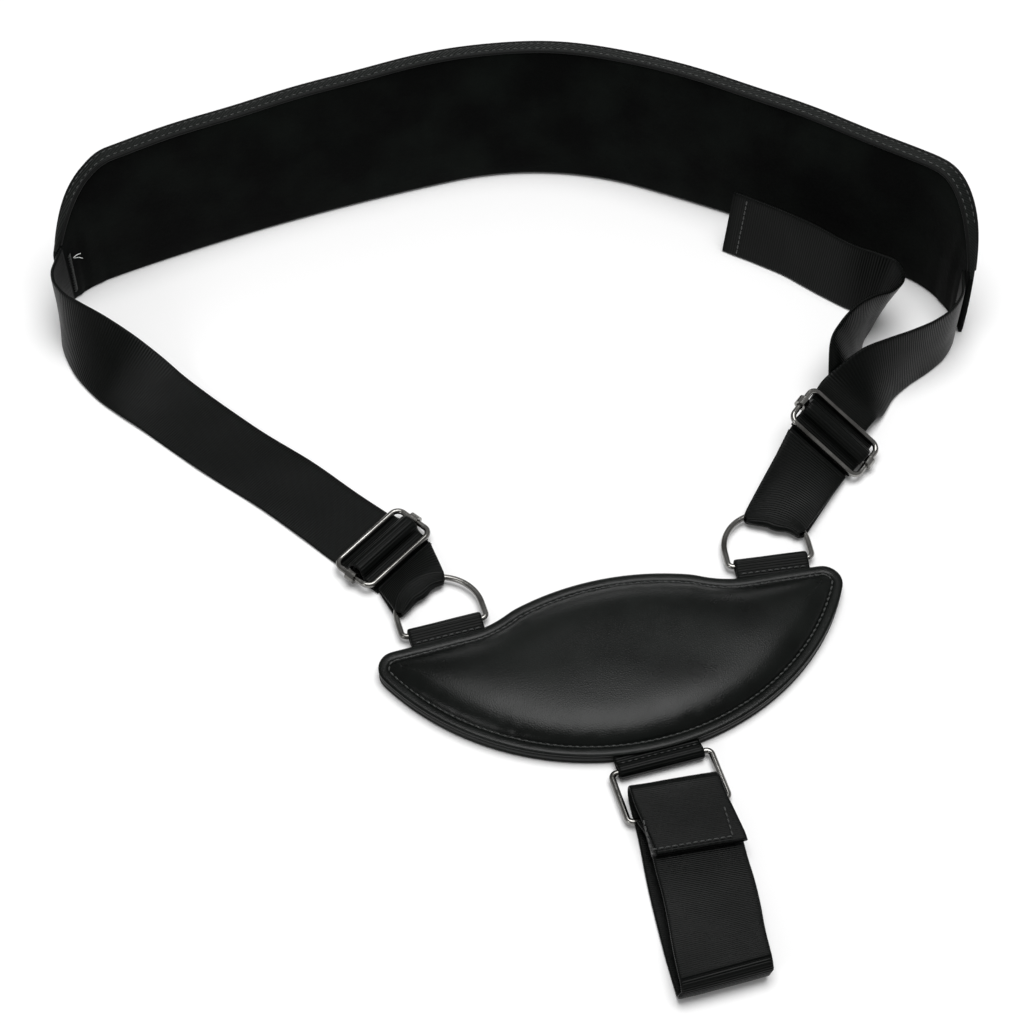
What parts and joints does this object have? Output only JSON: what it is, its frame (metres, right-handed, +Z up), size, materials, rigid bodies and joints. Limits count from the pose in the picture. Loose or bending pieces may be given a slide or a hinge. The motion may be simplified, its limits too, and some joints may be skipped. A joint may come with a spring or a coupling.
{
  "type": "saxophone neck strap",
  "caption": "Padded neck strap for a saxophone: contoured neck band, two webbing runs with wire adjusters, a crescent chest pad and a hook-and-loop hanger loop.",
  "frame": {"origin": "centre of the underside of the whole strap's bounding box, on the surface that it lies on", "axes": "+Z up from the surface, +Y toward the neck band, +X toward the wearer's left-hand side as laid out, which is the side of the longer tail"},
  "size_m": [0.3999, 0.4391, 0.0677],
  "materials": {
    "velour": "matte",
    "foam": "matte",
    "mesh": "matte",
    "thread": "satin",
    "webbing": "satin",
    "backing": "matte",
    "board": "matte",
    "coated": "gloss",
    "wire": "polished",
    "pile": "matte",
    "hook": "matte"
  },
  "bodies": {
    "strap": {"band_lining": "velour", "band_foam": "foam", "band_mesh": "mesh", "band_binding": "mesh", "left_band_seam": "thread", "right_band_seam": "thread", "left_webbing": "webbing", "right_webbing": "webbing", "right_tail": "webbing", "crescent_back_cover": "backing", "crescent_board": "board", "crescent_foam": "foam", "crescent_front_cover": "coated", "crescent_stitching": "thread", "left_tab": "webbing", "right_tab": "webbing", "lower_tab": "webbing"},
    "left_d_ring": {"left_d_ring": "wire"},
    "left_turn": {"left_webbing_turn": "webbing"},
    "right_d_ring": {"right_d_ring": "wire"},
    "right_turn": {"right_webbing_turn": "webbing"},
    "left_adjuster": {"left_slider_frame": "wire"},
    "left_bar": {"left_slider_bar": "wire", "left_webbing_end": "webbing", "left_webbing_bight": "webbing"},
    "right_adjuster": {"right_slider_frame": "wire"},
    "right_bar": {"right_slider_bar": "wire", "right_tail_bight": "webbing", "right_webbing_bight": "webbing"},
    "lower_ring": {"lower_ring": "wire"},
    "loop": {"loop_strap": "webbing", "pile_patch": "pile"},
    "flap": {"loop_flap": "webbing", "hook_patch": "hook"}
  },
  "joints": [
    {"name": "left_d_ring_swing", "type": "hinge", "parent": "strap", "child": "left_d_ring", "pos_m": [-0.02679, -0.05778, 0.0036], "axis": [0.9573, 0.289, 0], "range_deg": [0, 8]},
    {"name": "left_turn_swing", "type": "hinge", "parent": "left_d_ring", "child": "left_turn", "pos_m": [-0.03726, -0.03691, 0.0036], "axis": [0.9573, 0.289, 0], "range_deg": [-8, 0]},
    {"name": "right_d_ring_swing", "type": "hinge", "parent": "strap", "child": "right_d_ring", "pos_m": [0.10432, -0.02557, 0.0036], "axis": [0.9882, 0.153, 0], "range_deg": [0, 8]},
    {"name": "right_turn_swing", "type": "hinge", "parent": "right_d_ring", "child": "right_turn", "pos_m": [0.10665, -0.00143, 0.0036], "axis": [0.9882, 0.153, 0], "range_deg": [-8, 0]},
    {"name": "left_adjuster_slide", "type": "slide", "parent": "strap", "child": "left_adjuster", "axis": [0.7604, -0.6494, 0], "range_m": [-0.06, 0]},
    {"name": "left_bar_slide", "type": "slide", "parent": "left_adjuster", "child": "left_bar", "axis": [0.7604, -0.6494, 0], "range_m": [-0.003, 0.003]},
    {"name": "right_adjuster_slide", "type": "slide", "parent": "strap", "child": "right_adjuster", "axis": [-0.5722, -0.8172, -0.0698], "range_m": [-0.008, 0.007]},
    {"name": "right_bar_slide", "type": "slide", "parent": "right_adjuster", "child": "right_bar", "axis": [-0.5722, -0.8172, -0.0698], "range_m": [-0.003, 0.003]},
    {"name": "lower_ring_swing", "type": "hinge", "parent": "strap", "child": "lower_ring", "pos_m": [0.0562, -0.11977, 0.003], "axis": [-0.9598, -0.2807, 0], "range_deg": [0, 70]},
    {"name": "loop_swing", "type": "hinge", "parent": "lower_ring", "child": "loop", "pos_m": [0.06208, -0.14097, 0.003], "axis": [-0.9598, -0.2807, 0], "range_deg": [0, 30]},
    {"name": "flap_open", "type": "hinge", "parent": "loop", "child": "flap", "pos_m": [0.06096, -0.13508, 0.01125], "axis": [-0.9823, -0.1874, 0], "range_deg": [0, 75]}
  ],
  "couplings": [
    {"joint": "left_turn_swing", "follows": "left_d_ring_swing", "ratio": -1},
    {"joint": "right_turn_swing", "follows": "right_d_ring_swing", "ratio": -1}
  ]
}
